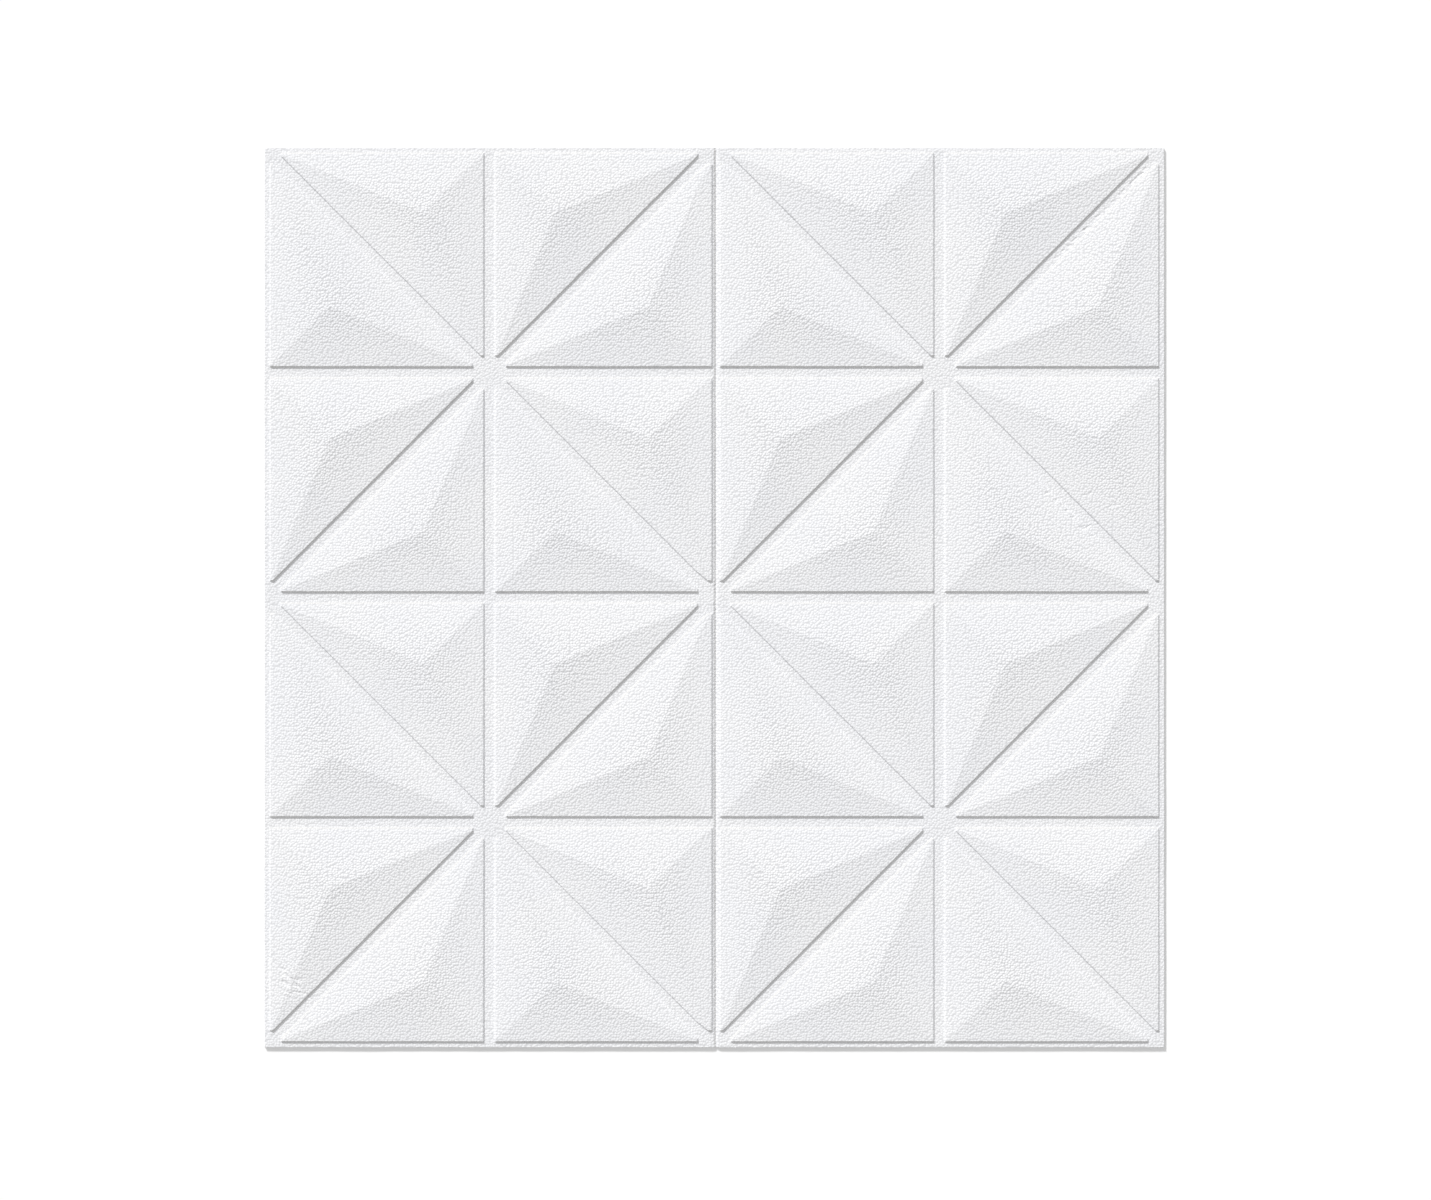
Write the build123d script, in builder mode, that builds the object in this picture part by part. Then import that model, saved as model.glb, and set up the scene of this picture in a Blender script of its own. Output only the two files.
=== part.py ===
"""Self-adhesive foam wall panel: one hot-pressed sheet with a faceted star relief.

The sheet lies on its flat adhesive back, centred on the origin, with its face towards +Z.
Straight and diagonal grooves divide the face into right-angled triangles, and each triangle
rises from a steep groove wall through a soft shoulder to three equal slopes and a peak.
"""

import os
from math import atan2, degrees, sqrt

from build123d import *

# Driving dimensions, in millimetres
panel_side = 700.0  # square outline, cut along the middle of the border grooves
cells_per_side = 4  # squares across the panel, two raised triangles in each
sheet_thickness = 2.5  # foam pressed flat under the grooves
groove_floor_width = 8.1  # flat floor between the feet of two facing groove walls
wall_height = 1.5  # groove floor up to the rim of a triangle
wall_lean = 0.65  # how far a groove wall leans back over its height
shoulder_radius = 0.6  # rounded rim between a groove wall and the slope above it
slope_rise = 4.0  # rim of a triangle up to its peak
blunt_end_width = 2.8  # foot of a triangle's end, where it stops at a star flat
fold_line_width = 6.4  # pressed crease along the middle groove, top to bottom
fold_line_depth = 0.9  # crease depth below the groove floor

# A triangle's foot, seen in its own square cell with the cell's middle as the origin
cell_side = panel_side / cells_per_side
foot_leg = cell_side - groove_floor_width * (1 + 1 / sqrt(2))
foot_corner = (groove_floor_width - cell_side) / 2
foot_inradius = foot_leg * (1 - 1 / sqrt(2))
peak_offset = foot_corner + foot_inradius  # equal slopes meet above the incentre

# Eight grooves meet on a flat square, which reaches out to the blunt ends of the triangles
star_flat_side = 2 * (blunt_end_width + groove_floor_width * (1 / 2 + 1 / sqrt(2)))

# Levels above the adhesive back, and the groove wall's angle
rim_level = sheet_thickness + wall_height
peak_level = rim_level + slope_rise
wall_draft = degrees(atan2(wall_lean, wall_height))

with BuildPart() as raised_triangle:
    with BuildSketch(Plane.XY.offset(sheet_thickness)):
        with BuildLine():
            Polyline(
                (foot_corner, foot_corner),
                (foot_corner + foot_leg, foot_corner),
                (foot_corner, foot_corner + foot_leg),
                close=True,
            )
        make_face()
        # The two sharp ends stop short at the star flats in the cell's corners
        with Locations((cell_side / 2, -cell_side / 2), (-cell_side / 2, cell_side / 2)):
            Rectangle(star_flat_side, star_flat_side, mode=Mode.SUBTRACT)
    extrude(amount=wall_height, taper=wall_draft)
    rim = raised_triangle.faces().sort_by(Axis.Z)[-1]
    loft([rim, Vertex(peak_offset, peak_offset, peak_level)], ruled=True)
    rim_edges = raised_triangle.edges().filter_by(Plane.XY).group_by(Axis.Z)[-1]
    fillet(rim_edges, radius=shoulder_radius)

# Cells are counted from the lower left corner of the face, and their diagonals alternate
cells = [(column, row) for column in range(cells_per_side) for row in range(cells_per_side)]
triangle_places = []
for column, row in cells:
    middle = ((column + 0.5) * cell_side - panel_side / 2, (row + 0.5) * cell_side - panel_side / 2)
    first_turn = 90 if (column + row) % 2 == 0 else 0
    for turn in (first_turn, first_turn + 180):
        triangle_places.append(Location((*middle, 0), (0, 0, turn)))

with BuildPart() as foam_panel:
    with BuildSketch():
        Rectangle(panel_side, panel_side)
    extrude(amount=sheet_thickness)
    with Locations(*triangle_places):
        add(raised_triangle.part)

    # Fold line: a V pressed into the floor of the middle groove
    with BuildSketch(Plane.XZ.offset(-panel_side / 2)):
        with BuildLine():
            Polyline(
                (-fold_line_width / 2, sheet_thickness),
                (0, sheet_thickness - fold_line_depth),
                (fold_line_width / 2, sheet_thickness),
                close=True,
            )
        make_face()
    extrude(amount=panel_side, mode=Mode.SUBTRACT)

foam_panel.part.label = "foam_panel"
os.makedirs("parts", exist_ok=True)
export_step(foam_panel.part, "parts/foam_panel.step")
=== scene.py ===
"""Dresses a self-adhesive foam wall panel: one hot-pressed sheet with a faceted star relief.

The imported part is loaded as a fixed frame, and one modelled sheet stands for it on a plain pale stage.
Sizes are in metres unless they are said to be in millimetres, and the face of the sheet looks towards +Z.
"""

import math
import random
from typing import NamedTuple

import bmesh
import bpy
from bpy.props import FloatProperty, FloatVectorProperty, IntProperty, PointerProperty
from mathutils import Matrix, Vector, noise


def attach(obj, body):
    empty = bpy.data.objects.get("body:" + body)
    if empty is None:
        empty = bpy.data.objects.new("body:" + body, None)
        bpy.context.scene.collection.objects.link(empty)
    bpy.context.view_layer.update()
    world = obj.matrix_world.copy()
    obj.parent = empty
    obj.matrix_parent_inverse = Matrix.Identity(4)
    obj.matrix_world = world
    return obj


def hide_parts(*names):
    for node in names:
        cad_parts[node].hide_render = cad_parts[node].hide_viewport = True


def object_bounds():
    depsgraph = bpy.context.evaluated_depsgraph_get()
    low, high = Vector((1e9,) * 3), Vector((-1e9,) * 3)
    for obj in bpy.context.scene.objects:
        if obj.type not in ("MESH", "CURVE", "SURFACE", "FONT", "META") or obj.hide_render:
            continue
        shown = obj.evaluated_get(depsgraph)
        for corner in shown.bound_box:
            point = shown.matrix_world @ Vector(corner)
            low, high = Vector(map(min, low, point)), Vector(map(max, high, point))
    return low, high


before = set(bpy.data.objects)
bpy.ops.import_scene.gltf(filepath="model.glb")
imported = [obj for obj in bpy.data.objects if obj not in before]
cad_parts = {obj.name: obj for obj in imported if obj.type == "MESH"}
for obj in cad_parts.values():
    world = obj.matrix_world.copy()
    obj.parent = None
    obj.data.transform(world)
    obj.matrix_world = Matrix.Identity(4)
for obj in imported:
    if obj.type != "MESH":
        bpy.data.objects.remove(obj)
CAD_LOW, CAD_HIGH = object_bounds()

bl_info = {
    "name": "Star Relief Wall Panel",
    "version": (1, 0, 0),
    "blender": (4, 5, 0),
    "location": "View3D > Sidebar > Wall Panel",
    "description": "Models a pressed foam wall panel and the stage that it is shown on",
    "category": "Object",
}

MILLIMETRE = 0.001
MERGE_DISTANCE = 0.02 * MILLIMETRE
WHITE = (1.0, 1.0, 1.0, 1.0)
ALONG_X = Vector((1, 0, 0))
ALONG_Y = Vector((0, 1, 0))

# The view's frame and the sides of the sheet in it, in pixels
PHOTO_WIDTH = 1431
PHOTO_HEIGHT = 1200
SHEET_LEFT = 264.5
SHEET_RIGHT = 1164.2
SHEET_TOP = 146
SHEET_BOTTOM = 1048.9

# Places of the three finishes in the sheet's material list
FACE_SKIN, CUT_EDGE, ADHESIVE_BACK = range(3)

# Sockets of a Mix node that is set to colours
MIX_FACTOR, MIX_FIRST, MIX_SECOND, MIX_RESULT = 0, 6, 7, 2

# The sharp angles of a raised triangle, and the steps across a soft edge and across the rounded outline
SHARP_ANGLE = math.radians(45)
SOFT_EDGE_STEPS = 3
CUT_ROUNDING_STEPS = 2

# Waves of soft foam: about how many there are in a metre, and their share of the waviness
WAVES = ((18.0, 0.6), (55.0, 0.4))
WAVE_SEED = 11

# How the creases of a row differ from each other
CREASE_SEED = 7
CREASE_PLACE_RANGE = (0.1, 0.9)  # share of a crease's own step in the row
CREASE_LENGTH_RANGE = (0.6, 1.3)  # share of the row's crease length
CREASE_TURN_RANGE = (-10, 10)  # degrees added to the row's slant
CREASE_SHIFT_RANGE = (-0.3, 0.3)  # share of half the crease's length, along the crease
CREASE_DEPTH_RANGE = (0.5, 1.0)  # share of the sheet's crease depth

# Mesh lines over a crease, counted from its middle in half widths and half lengths
CREASE_SLICES = (-1, -0.5, 0, 0.5, 1)

# Pebbled grain, with distances from the middle of a pebble counted in pitches
PEBBLE_RANDOMNESS = 0.85
PEBBLE_TOP = 0.1
CREVICE_LIP = 0.45
CREVICE_BOTTOM = 0.75

# Clouds and specks of tone: scale and detail of their noise, and its values where they start and are full
CLOUD_NOISE = (1.0, 3.0)
CLOUD_RANGE = (0.35, 0.65)
SPECK_NOISE = (9.0, 4.0)
SPECK_RANGE = (0.6, 0.75)

# Dust on the groove floors is full up to the first share of the wall height and ends at the second
DUST_FOOT = 0.25
DUST_WAIST = 0.5

# Painted shade on the groove walls that face this way, about towards the light, or away from it: facing
# where it starts and is full
WALL_SHADE_SIDE = (-0.38, 0.92, 0.0)
WALL_SHADE_FACING = (0.36, 0.6)

# Painted shade on the left side of the fold line, which faces right, away from the light: shares of the
# depth and facing to the right where it starts and is full
FOLD_SHADE_LIP = 0.125
FOLD_SHADE_INSIDE = 0.5
FOLD_SHADE_FACING = (0.1, 0.3)
FOLD_SHADE_THIN = 0.7  # share of it that is left in thin patches

# Gloss of the finishes, with each pair running from the low places of a pattern to the high ones
SKIN_SPECULAR = 0.1
SKIN_ROUGHNESS = (0.75, 0.6)
CUT_SPECULAR = 0.2
CUT_ROUGHNESS = 0.8
BACK_ROUGHNESS = (0.32, 0.5)
FLOOR_SPECULAR = 0.0
FLOOR_ROUGHNESS = 0.9

# Shade in the open cells of the cut edge, from clear patches to cloudy ones
CELL_SHADE = (0.4, 0.8)


class CreaseRow(NamedTuple):
    """A row of handling creases: places and length in millimetres, slant in degrees."""

    start: tuple
    end: tuple
    count: int
    length: float
    slant: float


CREASE_ROWS = (
    # Nicks along the floor of the diagonal groove at the top right
    CreaseRow(start=(265.5, 263.5), end=(343.5, 341.5), count=17, length=6.5, slant=27),
    # Wrinkles on both sides of the diagonal groove below it
    CreaseRow(start=(258, 83), end=(297, 45), count=8, length=7.5, slant=18),
    CreaseRow(start=(288, 82), end=(329, 63), count=2, length=13, slant=24),
    # A bend across the lower left corner
    CreaseRow(start=(-323, -303), end=(-323, -303), count=1, length=65, slant=-38),
    # Short creases along the bend
    CreaseRow(start=(-337, -287), end=(-330, -312), count=6, length=11, slant=-25),
    CreaseRow(start=(-327, -294), end=(-324, -309), count=4, length=9, slant=-21),
)


# Sizes and colours that a user can change

def length(name, description, millimetres):
    """A length property with its default given in millimetres."""
    return FloatProperty(
        name=name,
        description=description,
        default=millimetres * MILLIMETRE,
        min=0.0,
        precision=5,
        unit="LENGTH",
    )


def share(name, description, default):
    """A property for a share from 0 to 1."""
    return FloatProperty(
        name=name,
        description=description,
        default=default,
        min=0.0,
        max=1.0,
        subtype="FACTOR",
    )


def angle(name, description, degrees):
    """An angle property with its default given in degrees."""
    return FloatProperty(
        name=name,
        description=description,
        default=math.radians(degrees),
        subtype="ANGLE",
    )


def colour(name, description, default):
    """A colour property with three linear channels."""
    return FloatVectorProperty(
        name=name,
        description=description,
        default=default,
        min=0.0,
        max=1.0,
        size=3,
        subtype="COLOR",
    )


class ReliefSizes(bpy.types.PropertyGroup):
    """Sizes of the pressed sheet and its relief"""

    panel_side: FloatProperty(
        name="Panel side",
        description="Square outline of the sheet",
        default=CAD_HIGH.x - CAD_LOW.x,
        unit="LENGTH",
    )
    cells_per_side: IntProperty(
        name="Cells per side",
        description="Squares across the sheet, with two raised triangles in each",
        default=4,
        min=2,
    )
    sheet_thickness: length("Sheet thickness", "Foam pressed flat under the grooves", 2.5)
    groove_floor_width: length("Groove floor", "Flat floor between two facing groove walls", 8.1)
    wall_height: length("Wall height", "Groove floor up to the rim of a triangle", 1.5)
    wall_lean: length("Wall lean", "How far a groove wall leans back over its height", 0.65)
    slope_rise: length("Slope rise", "Rim of a triangle up to its peak", 4.0)
    blunt_end_width: length("Blunt end", "Foot of a triangle's end at a star flat", 2.8)
    soft_edge: length("Soft edge", "Width of the rounding on each side of a pressed edge", 0.4)
    fold_line_width: length("Fold line width", "Crease along the middle groove", 6.4)
    fold_line_depth: length("Fold line depth", "Crease below the groove floor", 0.9)
    fold_nip_width: length("Fold nip width", "Narrow line at the bottom of the crease", 2.4)
    fold_nip_depth: length("Fold nip depth", "Narrow line below the crease", 0.5)
    fold_pull: length("Fold pull", "How much nearer the fold draws the groove wall on its left", 2.6)
    fold_pull_reach: length("Fold pull reach", "Foam on both sides of that wall that gives way", 8.0)
    cut_rounding: length("Cut rounding", "Skin pulled down over the knife-cut outline", 0.4)
    slice_pitch: length("Slice pitch", "Spacing of the mesh lines across the face", 7.0)
    waviness: length("Waviness", "How far soft foam strays from the pressed form", 0.22)
    crease_width: length("Crease width", "Width of a handling crease in the skin", 2.6)
    crease_depth: length("Crease depth", "Depth of a handling crease in the skin", 0.8)


class FoamFinish(bpy.types.PropertyGroup):
    """Colours and grain of the foam"""

    skin_white: colour("Skin white", "Main colour of the embossed skin", (0.884, 0.886, 0.899))
    skin_cool: colour("Skin cool", "Cooler patches of the embossed skin", (0.868, 0.873, 0.895))
    # Painted shade in the crevices between the grains
    crevice_painted_shade: colour("Crevice shade", "Foam between the grains", (0.60, 0.605, 0.625))
    # Colour of the faint dust on the groove floors, and of the painted shade on the groove walls and in
    # the fold line
    dust_and_shade_tone: colour("Groove dust and shade", "Faint dust in the grooves", (0.655, 0.65, 0.64))
    cut_white: colour("Cut white", "Cell walls of the knife-cut edge", (0.84, 0.84, 0.845))
    cut_shade: colour("Cut shade", "Open cells of the knife-cut edge", (0.62, 0.62, 0.63))
    back_white: colour("Back white", "Adhesive film on the back", (0.80, 0.80, 0.79))
    back_shade: colour("Back shade", "Thicker patches of the adhesive", (0.73, 0.73, 0.71))
    # Strength of the painted shade in the grain's crevices
    crevice_shade_share: share("Crevice share", "How far the crevices darken", 0.5)
    floor_dust: share("Floor dust", "How much dust lies on the groove floors", 0.04)
    # Painted shade on the left side of the fold line, which faces away from the light
    fold_shade_share: share("Fold shade", "How much dust clings to the left side of the fold line", 0.75)
    # Painted shade on the groove walls that face towards the light or away from it, which tones down the
    # lit walls and darkens the shaded ones
    wall_shade_share: share("Wall shade", "How much dust clings to the dusty groove walls", 1.0)
    cloud_size: length("Cloud size", "Size of the soft patches of tone", 70.0)
    grain_pitch: length("Grain pitch", "Distance from one grain to the next", 2.0)
    grain_depth: length("Grain depth", "Height of a grain above its crevices", 0.3)
    # This also scales the painted shade in the grain's crevices
    grain_fade: share("Grain fade", "How much weaker the grain is at a rim, and stronger at a peak", 0.2)
    cell_pitch: length("Cell pitch", "Size of a foam cell on the cut edge", 0.7)
    cell_depth: length("Cell depth", "Depth of an open cell on the cut edge", 0.15)
    film_pitch: length("Film pitch", "Size of a ripple in the adhesive film", 9.0)
    film_depth: length("Film depth", "Height of a ripple in the adhesive film", 0.05)


class StageLook(bpy.types.PropertyGroup):
    """Floor, light and camera"""

    floor_white: colour("Floor white", "Colour of the floor", (0.93, 0.93, 0.93))
    floor_glow: share("Floor glow", "White added to the floor as the camera sees it", 0.08)
    floor_reach: length("Floor reach", "Middle of the floor to its side", 6000.0)
    floor_gap: length("Floor gap", "Floor below the back of the sheet", 0.2)
    fill_level: share("Fill level", "Light from all round", 0.537)
    key_strength: FloatProperty(
        name="Key strength",
        description="Strength of the light from the upper left",
        default=2.9,
        min=0.0,
    )
    key_azimuth: angle("Key azimuth", "Side that the light comes from, counted from +X", 118.5)
    key_elevation: angle("Key elevation", "Height of the light above the floor", 31.0)
    key_softness: angle("Key softness", "Width of the light as the sheet sees it", 9.0)
    key_distance: length("Key distance", "Light to the middle of the sheet", 3000.0)
    lens: FloatProperty(
        name="Lens",
        description="Focal length of the camera, in millimetres",
        default=100.0,
        min=1.0,
    )


# Mesh tools

def all_geometry(bm):
    """Every vertex, edge and face of a bmesh, as its operators take them."""
    return bm.verts[:] + bm.edges[:] + bm.faces[:]


def each_once(parts):
    """The parts in their order, with repeats left out."""
    return list(dict.fromkeys(parts))


def verts_of(geometry):
    """The vertices in a list that bmesh operators return."""
    return [part for part in geometry if isinstance(part, bmesh.types.BMVert)]


def faces_of(geometry):
    """The faces in a list that bmesh operators return."""
    return [part for part in geometry if isinstance(part, bmesh.types.BMFace)]


def largest_face(bm):
    """The face with the largest area."""
    return max(bm.faces, key=lambda face: face.calc_area())


def faces_near(faces, middle, reach):
    """The faces with a corner within reach of a point, seen from above."""
    def is_near(face):
        return any((vert.co.xy - middle.xy).length < reach for vert in face.verts)

    return [face for face in faces if is_near(face)]


def slice_along(bm, geometry, place, normal):
    """Cuts the geometry along a plane and returns it with the new parts."""
    cut = bmesh.ops.bisect_plane(
        bm, geom=geometry, dist=MERGE_DISTANCE, plane_co=place, plane_no=normal
    )
    return cut["geom"]


def round_edges(bm, edges, width, segments):
    """Rounds the given edges."""
    bmesh.ops.bevel(
        bm,
        geom=edges,
        offset=width,
        offset_type="OFFSET",
        affect="EDGES",
        segments=segments,
        profile=0.5,
        material=-1,
        clamp_overlap=True,
    )


def add_object(scene, name, bm):
    """Turns a finished bmesh into an object at the scene's origin."""
    mesh = bpy.data.meshes.new(name)
    bm.to_mesh(mesh)
    bm.free()
    piece = bpy.data.objects.new(name, mesh)
    scene.collection.objects.link(piece)
    return piece


# One raised triangle

def press_block(bm, sizes):
    """One raised triangle with its share of the groove floors, its right angle at the lower left."""
    half_cell = sizes.panel_side / sizes.cells_per_side / 2
    floor_level = sizes.sheet_thickness
    outline = ((-half_cell, -half_cell), (half_cell, -half_cell), (-half_cell, half_cell))
    plan = bm.faces.new([bm.verts.new((x, y, floor_level)) for x, y in outline])
    plan.normal_update()
    bmesh.ops.inset_individual(
        bm, faces=[plan], thickness=sizes.groove_floor_width / 2, use_even_offset=True
    )
    foot = blunt_sharp_ends(bm, sizes, half_cell)
    bmesh.ops.inset_individual(
        bm,
        faces=[foot],
        thickness=sizes.wall_lean,
        depth=sizes.wall_height,
        use_even_offset=True,
    )
    raise_slopes(bm, foot, sizes, half_cell)
    soften_edges(bm, floor_level, sizes.soft_edge)
    slice_block(bm, half_cell, sizes.slice_pitch)


def blunt_sharp_ends(bm, sizes, half_cell):
    """Cuts the triangle's two sharp ends off at the star flats and returns the foot that is left."""
    star_reach = sizes.blunt_end_width + sizes.groove_floor_width * (1 / 2 + 1 / math.sqrt(2))
    for normal in (ALONG_X, ALONG_Y):
        foot = largest_face(bm)
        whole_foot = [foot, *foot.edges, *foot.verts]
        slice_along(bm, whole_foot, normal * (half_cell - star_reach), normal)
    return largest_face(bm)


def raise_slopes(bm, rim, sizes, half_cell):
    """Turns the flat rim polygon into three equal slopes that meet above the incentre."""
    inradius = 2 * half_cell * (1 - 1 / math.sqrt(2))
    rim_inradius = inradius - sizes.groove_floor_width / 2 - sizes.wall_lean
    rim_level = sizes.sheet_thickness + sizes.wall_height
    right_angle = min(rim.verts, key=lambda vert: vert.co.x + vert.co.y)
    blunt_ends = sorted(rim.edges, key=lambda edge: edge.calc_length())[:2]
    # A ridge halves its sharp angle, and so it meets the blunt end this share of the way from the leg
    ridge_share = math.tan(SHARP_ANGLE / 2)
    ridge_feet = [right_angle]
    for end in blunt_ends:
        leg_vert = min(end.verts, key=lambda vert: min(vert.co.x, vert.co.y))
        ridge_height = end.calc_length() * ridge_share * sizes.slope_rise / rim_inradius
        _, ridge_foot = bmesh.utils.edge_split(end, leg_vert, ridge_share)
        ridge_foot.co.z = rim_level + ridge_height
        ridge_feet.append(ridge_foot)
    peak = bmesh.ops.poke(bm, faces=[rim])["verts"][0]
    peak_place = inradius - half_cell
    peak.co = (peak_place, peak_place, rim_level + sizes.slope_rise)
    flat_lines = [edge for edge in peak.link_edges if edge.other_vert(peak) not in ridge_feet]
    bmesh.ops.dissolve_edges(bm, edges=flat_lines, use_verts=False)


def soften_edges(bm, floor_level, width):
    """Rounds every edge of the raised triangle, with its foot, but not the floor's own lines."""
    def on_floor(face):
        return all(vert.co.z < floor_level + MERGE_DISTANCE for vert in face.verts)

    pressed = [edge for edge in bm.edges if not all(on_floor(face) for face in edge.link_faces)]
    round_edges(bm, pressed, width, SOFT_EDGE_STEPS)


def slice_block(bm, half_cell, pitch):
    """Divides the block evenly both ways, so that its faces can bend."""
    slices = round(2 * half_cell / pitch)
    for step in range(1, slices):
        place = -half_cell + step * 2 * half_cell / slices
        for normal in (ALONG_X, ALONG_Y):
            slice_along(bm, all_geometry(bm), normal * place, normal)


# The whole sheet

def press_sheet(sizes):
    """The whole sheet as a bmesh, smooth on its face and flat on its cut edge and back."""
    bm = bmesh.new()
    press_block(bm, sizes)
    lay_blocks(bm, sizes)
    press_fold_line(bm, sizes)
    pull_wall_to_fold(bm, sizes)
    draws = random.Random(CREASE_SEED)
    for row in CREASE_ROWS:
        press_crease_row(bm, row, sizes, draws)
    cut_outline(bm, sizes)
    relax_foam(bm, sizes.waviness)
    for face in bm.faces:
        face.smooth = face.material_index == FACE_SKIN
    return bm


def block_places(sizes):
    """Where each triangle lies: two in a cell, with diagonals that alternate from cell to cell."""
    cells = sizes.cells_per_side
    cell_side = sizes.panel_side / cells
    for column in range(cells):
        for row in range(cells):
            middle = Vector((column + 0.5, row + 0.5, 0)) * cell_side
            middle -= Vector((sizes.panel_side, sizes.panel_side, 0)) / 2
            first_turn = 90 if (column + row) % 2 == 0 else 0
            for turn in (first_turn, first_turn + 180):
                yield Matrix.Translation(middle) @ Matrix.Rotation(math.radians(turn), 4, "Z")


def lay_blocks(bm, sizes):
    """Repeats the block over the sheet and joins the groove floors."""
    block = all_geometry(bm)
    first_place, *places = block_places(sizes)
    for place in places:
        copy = bmesh.ops.duplicate(bm, geom=block)["geom"]
        bmesh.ops.transform(bm, matrix=place, verts=verts_of(copy))
    bmesh.ops.transform(bm, matrix=first_place, verts=verts_of(block))
    bmesh.ops.remove_doubles(bm, verts=bm.verts[:], dist=MERGE_DISTANCE)


def press_fold_line(bm, sizes):
    """Presses a V with a narrow nip and a sharp bottom into the middle groove, from top to bottom."""
    grooves = (
        (sizes.fold_line_width / 2, sizes.fold_line_depth),
        (sizes.fold_nip_width / 2, sizes.fold_nip_depth),
    )
    for half_width, _ in grooves:
        for side in (-half_width, half_width):
            slice_along(bm, all_geometry(bm), ALONG_X * side, ALONG_X)
    for vert in bm.verts:
        for half_width, depth in grooves:
            vert.co.z -= depth * max(0, 1 - abs(vert.co.x) / half_width)
    for edge in bm.edges:
        if all(abs(vert.co.x) < MERGE_DISTANCE for vert in edge.verts):
            edge.smooth = False


def pull_wall_to_fold(bm, sizes):
    """Draws the left wall of the middle groove towards the fold line."""
    wall_place = -(sizes.groove_floor_width + sizes.wall_lean) / 2
    for vert in bm.verts:
        away = abs(vert.co.x - wall_place) / sizes.fold_pull_reach
        vert.co.x += sizes.fold_pull * max(0, 1 - away)


def press_crease_row(bm, row, sizes, draws):
    """Presses one row of creases into the skin, none quite like the next."""
    start = Vector((*row.start, 0)) * MILLIMETRE
    end = Vector((*row.end, 0)) * MILLIMETRE
    half_width = sizes.crease_width / 2
    row_reach = (end - start).length / 2 + row.length * MILLIMETRE + sizes.slice_pitch
    faces = faces_near(bm.faces, (start + end) / 2, row_reach)
    for step in range(row.count):
        spread = (step + draws.uniform(*CREASE_PLACE_RANGE)) / row.count
        half_length = row.length * MILLIMETRE / 2 * draws.uniform(*CREASE_LENGTH_RANGE)
        turn = math.radians(row.slant + draws.uniform(*CREASE_TURN_RANGE))
        along = Vector((math.cos(turn), math.sin(turn), 0))
        shift = along * draws.uniform(*CREASE_SHIFT_RANGE) * half_length
        depth = sizes.crease_depth * draws.uniform(*CREASE_DEPTH_RANGE)
        middle = start.lerp(end, spread) + shift
        divided = press_crease(bm, faces, middle, along, half_length, half_width, depth)
        faces = each_once(faces + divided)


def press_crease(bm, faces, middle, along, half_length, half_width, depth):
    """Presses one crease, deepest at its middle, and returns the faces that it divided."""
    across = Vector((-along.y, along.x, 0))
    near = faces_near(faces, middle, half_length + 2 * half_width)
    edges = each_once(edge for face in near for edge in face.edges)
    verts = each_once(vert for face in near for vert in face.verts)
    geometry = near + edges + verts
    for step in CREASE_SLICES:
        geometry = slice_along(bm, geometry, middle + across * step * half_width, across)
        geometry = slice_along(bm, geometry, middle + along * step * half_length, along)
    for vert in verts_of(geometry):
        offset = vert.co - middle
        share_along = offset.dot(along) / half_length
        share_across = offset.dot(across) / half_width
        if max(abs(share_along), abs(share_across)) < 1:
            vert.co.z -= depth * (1 - share_along**2) * (1 - abs(share_across))
    return faces_of(geometry)


def cut_outline(bm, sizes):
    """Gives the sheet its knife-cut edge and its flat back."""
    outline = [edge for edge in bm.edges if edge.is_boundary]
    skirt = bmesh.ops.extrude_edge_only(bm, edges=outline)["geom"]
    for vert in verts_of(skirt):
        vert.co.z = 0
    for face in faces_of(skirt):
        face.material_index = CUT_EDGE
    back_edges = [edge for edge in bm.edges if edge.is_boundary]
    for face in bmesh.ops.contextual_create(bm, geom=back_edges)["faces"]:
        face.material_index = ADHESIVE_BACK
    round_edges(bm, outline, sizes.cut_rounding, CUT_ROUNDING_STEPS)
    bmesh.ops.recalc_face_normals(bm, faces=bm.faces[:])


def relax_foam(bm, waviness):
    """Lets the pressed form stray a little, as soft foam does, with the flat back left alone."""
    noise.seed_set(WAVE_SEED)
    for vert in bm.verts:
        if vert.co.z > MERGE_DISTANCE:
            for scale, weight in WAVES:
                vert.co += noise.noise_vector(vert.co * scale) * weight * waviness


# Shader nodes

def add_node(tree, kind, inputs, **fields):
    """Adds a node, sets its fields and fills its inputs with values or with other nodes' sockets."""
    node = tree.nodes.new(kind)
    for field, value in fields.items():
        setattr(node, field, value)
    for place, value in inputs.items():
        if isinstance(value, bpy.types.NodeSocket):
            tree.links.new(value, node.inputs[place])
        else:
            node.inputs[place].default_value = value
    return node


def calculate(tree, operation, first, second=0.0):
    """The result of a Math node."""
    return add_node(tree, "ShaderNodeMath", {0: first, 1: second}, operation=operation).outputs[0]


def remap(tree, value, low, high, to_low=0.0, to_high=1.0):
    """A value moved smoothly from one range to another and held at its ends."""
    inputs = {
        "Value": value,
        "From Min": low,
        "From Max": high,
        "To Min": to_low,
        "To Max": to_high,
    }
    return add_node(tree, "ShaderNodeMapRange", inputs, interpolation_type="SMOOTHSTEP").outputs[0]


def between(tree, mask, low, high):
    """A value that goes from low to high as a mask goes from 0 to 1."""
    return remap(tree, mask, 0.0, 1.0, low, high)


def blend(tree, factor, first, second):
    """A colour between two others."""
    inputs = {MIX_FACTOR: factor, MIX_FIRST: first, MIX_SECOND: second}
    return add_node(tree, "ShaderNodeMix", inputs, data_type="RGBA").outputs[MIX_RESULT]


def soft_noise(tree, place, scale, detail):
    """The value of a noise texture."""
    inputs = {"Vector": place, "Scale": scale, "Detail": detail}
    return add_node(tree, "ShaderNodeTexNoise", inputs).outputs["Fac"]


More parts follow.
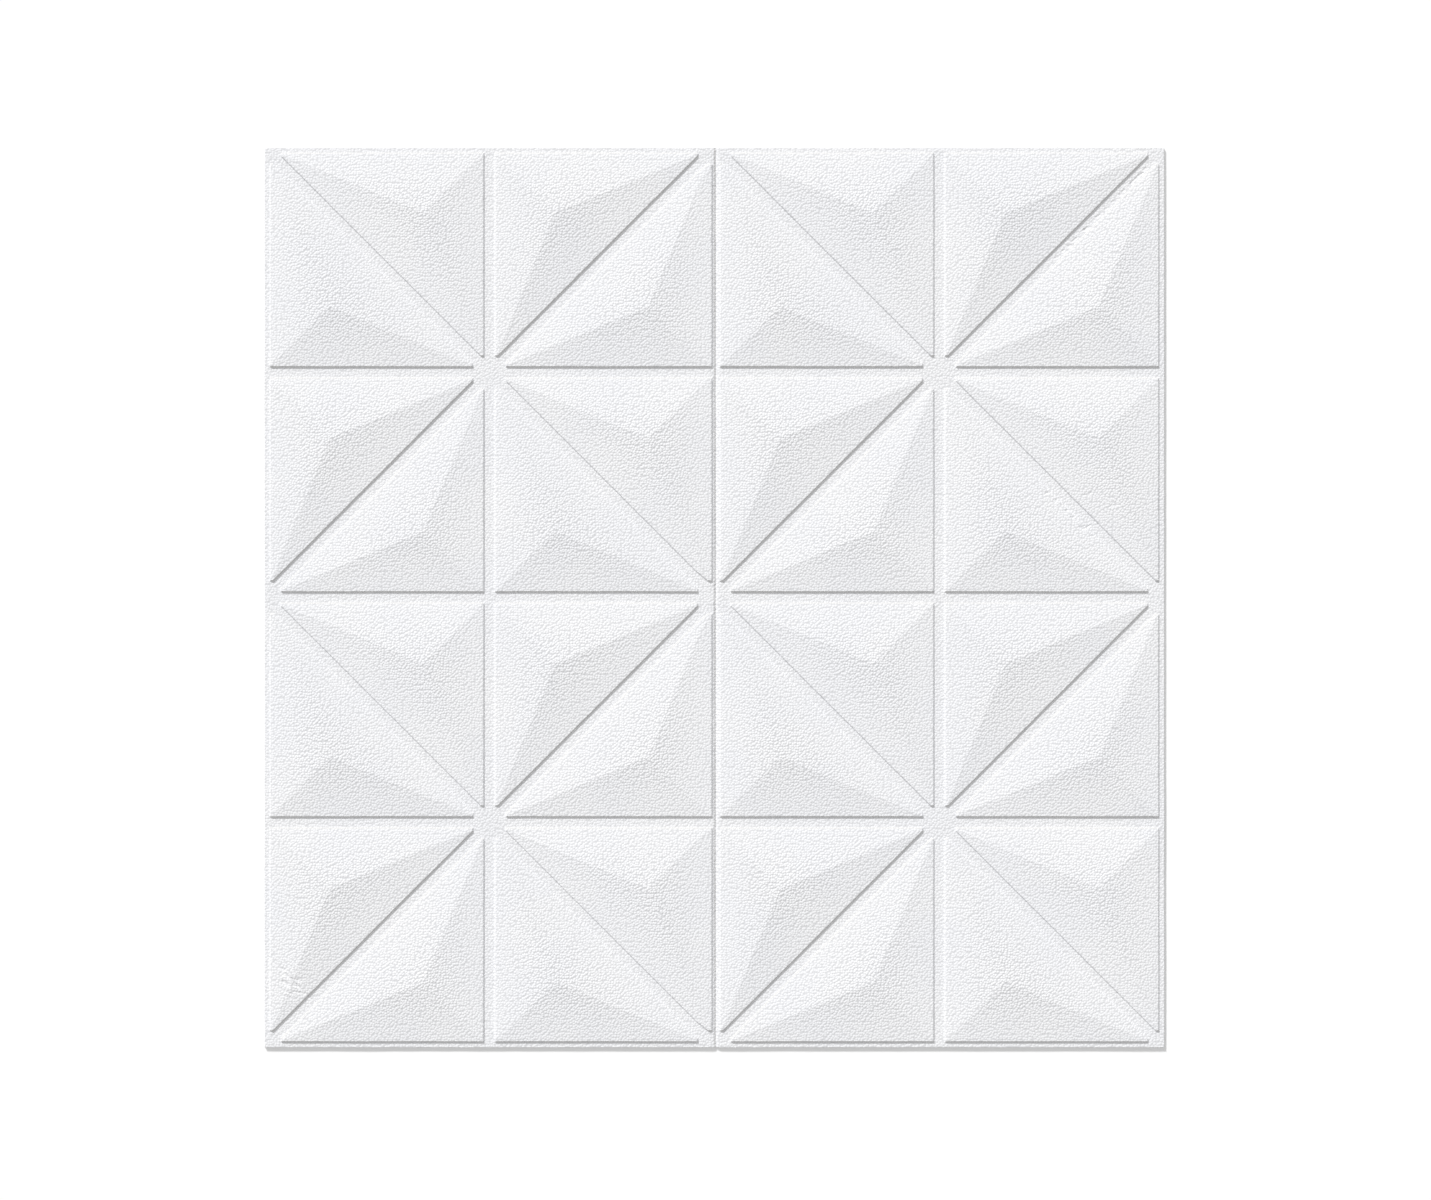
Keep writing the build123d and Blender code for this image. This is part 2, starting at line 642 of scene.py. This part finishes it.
def axes_of(tree, vector):
    """The X, Y and Z sockets of a vector."""
    return add_node(tree, "ShaderNodeSeparateXYZ", {"Vector": vector}).outputs


def start_group(name, size_name, results):
    """A shader node group that takes a place and a size, with its inside input and output sockets."""
    tree = bpy.data.node_groups.new(name, "ShaderNodeTree")
    tree.interface.new_socket("Place", in_out="INPUT", socket_type="NodeSocketVector")
    tree.interface.new_socket(size_name, in_out="INPUT", socket_type="NodeSocketFloat")
    for result in results:
        tree.interface.new_socket(result, in_out="OUTPUT", socket_type="NodeSocketFloat")
    sources = tree.nodes.new("NodeGroupInput").outputs
    results_in = tree.nodes.new("NodeGroupOutput").inputs
    steps = calculate(tree, "DIVIDE", 1.0, sources[size_name])
    counted = add_node(
        tree,
        "ShaderNodeVectorMath",
        {"Vector": sources["Place"], "Scale": steps},
        operation="SCALE",
    )
    return tree, counted.outputs["Vector"], results_in


def pebbled_grain():
    """Small pebbles side by side, with crevices between them."""
    tree, place, results = start_group("pebbled_grain", "Pitch", ("Height", "Crevice"))
    inputs = {"Vector": place, "Scale": 1.0, "Randomness": PEBBLE_RANDOMNESS}
    pebbles = add_node(tree, "ShaderNodeTexVoronoi", inputs, voronoi_dimensions="2D", feature="F1")
    from_middle = pebbles.outputs["Distance"]
    tree.links.new(remap(tree, from_middle, CREVICE_BOTTOM, PEBBLE_TOP), results["Height"])
    tree.links.new(remap(tree, from_middle, CREVICE_LIP, CREVICE_BOTTOM), results["Crevice"])
    return tree


def tone_mottle():
    """Soft clouds of tone, and sparse specks."""
    tree, place, results = start_group("tone_mottle", "Size", ("Cloud", "Speck"))
    cloud = remap(tree, soft_noise(tree, place, *CLOUD_NOISE), *CLOUD_RANGE)
    speck = remap(tree, soft_noise(tree, place, *SPECK_NOISE), *SPECK_RANGE)
    tree.links.new(cloud, results["Cloud"])
    tree.links.new(speck, results["Speck"])
    return tree


def use_group(tree, group, place, size_name, size):
    """The output sockets of a node group at a place and a size."""
    inputs = {"Place": place, size_name: size}
    return add_node(tree, "ShaderNodeGroup", inputs, node_tree=group).outputs


# Finishes of the sheet

def new_material(name):
    """A material with a plain shader, its node tree and the shader."""
    material = bpy.data.materials.new(name)
    material.use_nodes = True
    shader = material.node_tree.nodes["Principled BSDF"]
    return material, material.node_tree, shader


def opaque(tone):
    """A colour with its alpha."""
    return (*tone, 1.0)


def emboss(tree, shader, height, depth):
    """Gives a shader the normal of a small relief."""
    bump = add_node(tree, "ShaderNodeBump", {"Distance": depth, "Height": height})
    tree.links.new(bump.outputs["Normal"], shader.inputs["Normal"])


def foam_finishes(finish, sizes):
    """The sheet's three materials, in the order of its material list."""
    grain = pebbled_grain()
    mottle = tone_mottle()
    return (
        embossed_skin(finish, sizes, grain, mottle),
        cut_edge(finish, grain, mottle),
        adhesive_back(finish, grain, mottle),
    )


def embossed_skin(finish, sizes, grain_group, mottle_group):
    """Matt white foam skin with a fine pebbled grain, painted shade in its crevices, faint dust on the
    groove floors, and painted shade on the groove walls and in the fold line.
    """
    material, tree, shader = new_material("embossed_skin")
    shader.inputs["Specular IOR Level"].default_value = SKIN_SPECULAR
    coordinates = tree.nodes.new("ShaderNodeTexCoord").outputs
    place = coordinates["Object"]
    level = axes_of(tree, place)["Z"]
    grain = use_group(tree, grain_group, place, "Pitch", finish.grain_pitch)
    mottle = use_group(tree, mottle_group, place, "Size", finish.cloud_size)
    tone = blend(tree, mottle["Cloud"], opaque(finish.skin_white), opaque(finish.skin_cool))
    in_grooves_dust_and_shade = groove_dust_and_shade_mask(tree, coordinates, level, finish, sizes)
    fold_painted_shade = fold_shade_mask(tree, coordinates, level, mottle["Cloud"], finish, sizes)
    # Dust on the groove floors, and painted shade on the groove walls and in the fold line
    dust = calculate(tree, "MAXIMUM", in_grooves_dust_and_shade, fold_painted_shade)
    tone = blend(tree, dust, tone, opaque(finish.dust_and_shade_tone))
    rim_level = sizes.sheet_thickness + sizes.wall_height
    peak_level = rim_level + sizes.slope_rise
    strength = remap(tree, level, rim_level, peak_level, 1 - finish.grain_fade, 1 + finish.grain_fade)
    # Painted shade in the crevices between the grains, stronger towards the peaks
    crevice = calculate(tree, "MULTIPLY", grain["Crevice"], finish.crevice_shade_share)
    crevice = calculate(tree, "MULTIPLY", crevice, strength)
    tone = blend(tree, crevice, tone, opaque(finish.crevice_painted_shade))
    tree.links.new(tone, shader.inputs["Base Color"])
    roughness = between(tree, grain["Height"], *SKIN_ROUGHNESS)
    tree.links.new(roughness, shader.inputs["Roughness"])
    height = calculate(tree, "MULTIPLY", grain["Height"], strength)
    emboss(tree, shader, height, finish.grain_depth)
    return material


def groove_dust_and_shade_mask(tree, coordinates, level, finish, sizes):
    """A little dust on the groove floors, and painted shade on the walls of the level and rising grooves,
    which face towards the light or away from it.
    """
    foot = sizes.sheet_thickness + sizes.wall_height * DUST_FOOT
    waist = sizes.sheet_thickness + sizes.wall_height * DUST_WAIST
    on_floor = remap(tree, level, waist, foot, 0.0, finish.floor_dust)
    # Painted shade on the walls that face towards the light or away from it
    facing = add_node(
        tree,
        "ShaderNodeVectorMath",
        {0: coordinates["Normal"], 1: WALL_SHADE_SIDE},
        operation="DOT_PRODUCT",
    )
    either_way = calculate(tree, "ABSOLUTE", facing.outputs["Value"])
    wall_painted_shade = remap(tree, either_way, *WALL_SHADE_FACING, 0.0, finish.wall_shade_share)
    return calculate(tree, "MAXIMUM", on_floor, wall_painted_shade)


def fold_shade_mask(tree, coordinates, level, cloud, finish, sizes):
    """Patchy painted shade on the left side of the fold line, which faces right, away from the light."""
    lip = sizes.sheet_thickness - sizes.fold_line_depth * FOLD_SHADE_LIP
    inside = sizes.sheet_thickness - sizes.fold_line_depth * FOLD_SHADE_INSIDE
    below_floor = remap(tree, level, lip, inside)
    facing_right = remap(tree, axes_of(tree, coordinates["Normal"])["X"], *FOLD_SHADE_FACING)
    patches = between(tree, cloud, FOLD_SHADE_THIN * finish.fold_shade_share, finish.fold_shade_share)
    on_side = calculate(tree, "MULTIPLY", below_floor, facing_right)
    return calculate(tree, "MULTIPLY", on_side, patches)


def cut_edge(finish, grain_group, mottle_group):
    """Knife-cut foam with its small cells open."""
    material, tree, shader = new_material("cut_edge")
    shader.inputs["Specular IOR Level"].default_value = CUT_SPECULAR
    shader.inputs["Roughness"].default_value = CUT_ROUGHNESS
    place = tree.nodes.new("ShaderNodeTexCoord").outputs["Object"]
    axes = axes_of(tree, place)
    along = calculate(tree, "ADD", axes["X"], axes["Y"])
    upright = add_node(tree, "ShaderNodeCombineXYZ", {"X": along, "Y": axes["Z"]}).outputs["Vector"]
    cells = use_group(tree, grain_group, upright, "Pitch", finish.cell_pitch)
    mottle = use_group(tree, mottle_group, place, "Size", finish.cloud_size)
    hollow = calculate(tree, "SUBTRACT", 1.0, cells["Height"])
    depth_of_shade = between(tree, mottle["Cloud"], *CELL_SHADE)
    shade = calculate(tree, "MULTIPLY", cells["Height"], depth_of_shade)
    tone = blend(tree, shade, opaque(finish.cut_white), opaque(finish.cut_shade))
    tree.links.new(tone, shader.inputs["Base Color"])
    emboss(tree, shader, hollow, finish.cell_depth)
    return material


def adhesive_back(finish, grain_group, mottle_group):
    """Smooth, slightly glossy adhesive film."""
    material, tree, shader = new_material("adhesive_back")
    place = tree.nodes.new("ShaderNodeTexCoord").outputs["Object"]
    ripple = use_group(tree, grain_group, place, "Pitch", finish.film_pitch)
    mottle = use_group(tree, mottle_group, place, "Size", finish.cloud_size)
    tone = blend(tree, mottle["Cloud"], opaque(finish.back_white), opaque(finish.back_shade))
    tree.links.new(tone, shader.inputs["Base Color"])
    roughness = between(tree, mottle["Speck"], *BACK_ROUGHNESS)
    tree.links.new(roughness, shader.inputs["Roughness"])
    emboss(tree, shader, ripple["Height"], finish.film_depth)
    return material


# Floor, light and camera

def seen_directly(tree):
    """1 for rays from the camera, a mirror or a clear piece, 0 for rays that carry soft light."""
    path = tree.nodes.new("ShaderNodeLightPath").outputs
    seen = path["Is Camera Ray"]
    for other in ("Is Glossy Ray", "Is Transmission Ray"):
        seen = calculate(tree, "MAXIMUM", seen, path[other])
    return seen


def white_floor(look):
    """Matt white that glows a little where it is seen directly."""
    material, tree, shader = new_material("white_floor")
    shader.inputs["Base Color"].default_value = opaque(look.floor_white)
    shader.inputs["Roughness"].default_value = FLOOR_ROUGHNESS
    shader.inputs["Specular IOR Level"].default_value = FLOOR_SPECULAR
    shader.inputs["Emission Color"].default_value = WHITE
    glow = calculate(tree, "MULTIPLY", seen_directly(tree), look.floor_glow)
    tree.links.new(glow, shader.inputs["Emission Strength"])
    return material


def lay_floor(scene, look):
    """A wide white floor just under the sheet."""
    bm = bmesh.new()
    bmesh.ops.create_grid(bm, x_segments=1, y_segments=1, size=look.floor_reach)
    bmesh.ops.translate(bm, verts=bm.verts[:], vec=(0, 0, -look.floor_gap))
    floor = add_object(scene, "floor", bm)
    floor.data.materials.append(white_floor(look))


def fill_light(scene, look):
    """Even light from all round, with a white background."""
    world = bpy.data.worlds.new("studio")
    world.use_nodes = True
    scene.world = world
    tree = world.node_tree
    fill = add_node(tree, "ShaderNodeBackground", {"Color": WHITE, "Strength": look.fill_level})
    white = add_node(tree, "ShaderNodeBackground", {"Color": WHITE, "Strength": 1.0})
    shown = add_node(
        tree,
        "ShaderNodeMixShader",
        {0: seen_directly(tree), 1: fill.outputs[0], 2: white.outputs[0]},
    )
    tree.links.new(shown.outputs["Shader"], tree.nodes["World Output"].inputs["Surface"])


def key_light(scene, look):
    """A soft, even light from the upper left."""
    lamp = bpy.data.lights.new("key_light", "SUN")
    lamp.energy = look.key_strength
    lamp.angle = look.key_softness
    key = bpy.data.objects.new("key_light", lamp)
    level = math.cos(look.key_elevation)
    source = Vector((
        level * math.cos(look.key_azimuth),
        level * math.sin(look.key_azimuth),
        math.sin(look.key_elevation),
    ))
    key.location = source * look.key_distance
    key.rotation_mode = "QUATERNION"
    key.rotation_quaternion = source.to_track_quat("Z", "Y")
    scene.collection.objects.link(key)


def aim_camera(scene, look):
    """Looks straight down on the sheet, framed as in the photograph."""
    sheet_pixels = (SHEET_RIGHT - SHEET_LEFT + SHEET_BOTTOM - SHEET_TOP) / 2
    metres_per_pixel = (CAD_HIGH.x - CAD_LOW.x) / sheet_pixels
    data = bpy.data.cameras.new("camera")
    data.lens = look.lens
    distance = PHOTO_WIDTH * metres_per_pixel * data.lens / data.sensor_width
    camera = bpy.data.objects.new("camera", data)
    across = PHOTO_WIDTH / 2 - (SHEET_LEFT + SHEET_RIGHT) / 2
    down = PHOTO_HEIGHT / 2 - (SHEET_TOP + SHEET_BOTTOM) / 2
    camera.location = (across * metres_per_pixel, -down * metres_per_pixel, distance + CAD_HIGH.z)
    scene.collection.objects.link(camera)
    scene.camera = camera


# Operators and sidebar

class WALLPANEL_OT_press_sheet(bpy.types.Operator):
    """Model the pressed foam sheet and give it its skin, cut edge and adhesive back"""

    bl_idname = "wall_panel.press_sheet"
    bl_label = "Press Foam Sheet"

    def execute(self, context):
        scene = context.scene
        sizes = scene.wall_panel_sizes
        sheet = add_object(scene, "pressed_sheet", press_sheet(sizes))
        for material in foam_finishes(scene.wall_panel_finish, sizes):
            sheet.data.materials.append(material)
        normals = sheet.modifiers.new("even_facets", "WEIGHTED_NORMAL")
        normals.keep_sharp = True
        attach(sheet, "root")
        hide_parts("foam_panel")
        return {"FINISHED"}


class WALLPANEL_OT_set_stage(bpy.types.Operator):
    """Set the floor, the light and the camera"""

    bl_idname = "wall_panel.set_stage"
    bl_label = "Set Stage"

    def execute(self, context):
        scene = context.scene
        look = scene.wall_panel_stage
        lay_floor(scene, look)
        fill_light(scene, look)
        key_light(scene, look)
        aim_camera(scene, look)
        scene.view_settings.view_transform = "Standard"
        return {"FINISHED"}


class WALLPANEL_PT_sidebar(bpy.types.Panel):
    """Lists the sheet's sizes and finishes and the stage"""

    bl_idname = "WALLPANEL_PT_sidebar"
    bl_label = "Wall Panel"
    bl_space_type = "VIEW_3D"
    bl_region_type = "UI"
    bl_category = "Wall Panel"

    def draw(self, context):
        scene = context.scene
        steps = (
            (WALLPANEL_OT_press_sheet, (scene.wall_panel_sizes, scene.wall_panel_finish)),
            (WALLPANEL_OT_set_stage, (scene.wall_panel_stage,)),
        )
        for operator, groups in steps:
            box = self.layout.box()
            for group in groups:
                for name in group.__annotations__:
                    box.prop(group, name)
            box.operator(operator.bl_idname)


CLASSES = (
    ReliefSizes,
    FoamFinish,
    StageLook,
    WALLPANEL_OT_press_sheet,
    WALLPANEL_OT_set_stage,
    WALLPANEL_PT_sidebar,
)


def register():
    """Adds the classes, and the three groups of settings to every scene."""
    for cls in CLASSES:
        bpy.utils.register_class(cls)
    bpy.types.Scene.wall_panel_sizes = PointerProperty(type=ReliefSizes)
    bpy.types.Scene.wall_panel_finish = PointerProperty(type=FoamFinish)
    bpy.types.Scene.wall_panel_stage = PointerProperty(type=StageLook)


def unregister():
    """Takes the settings and the classes away again."""
    del bpy.types.Scene.wall_panel_stage
    del bpy.types.Scene.wall_panel_finish
    del bpy.types.Scene.wall_panel_sizes
    for cls in reversed(CLASSES):
        bpy.utils.unregister_class(cls)


def main():
    """Makes the sheet and its stage."""
    register()
    bpy.ops.wall_panel.press_sheet()
    bpy.ops.wall_panel.set_stage()


if __name__ == "__main__":
    main()
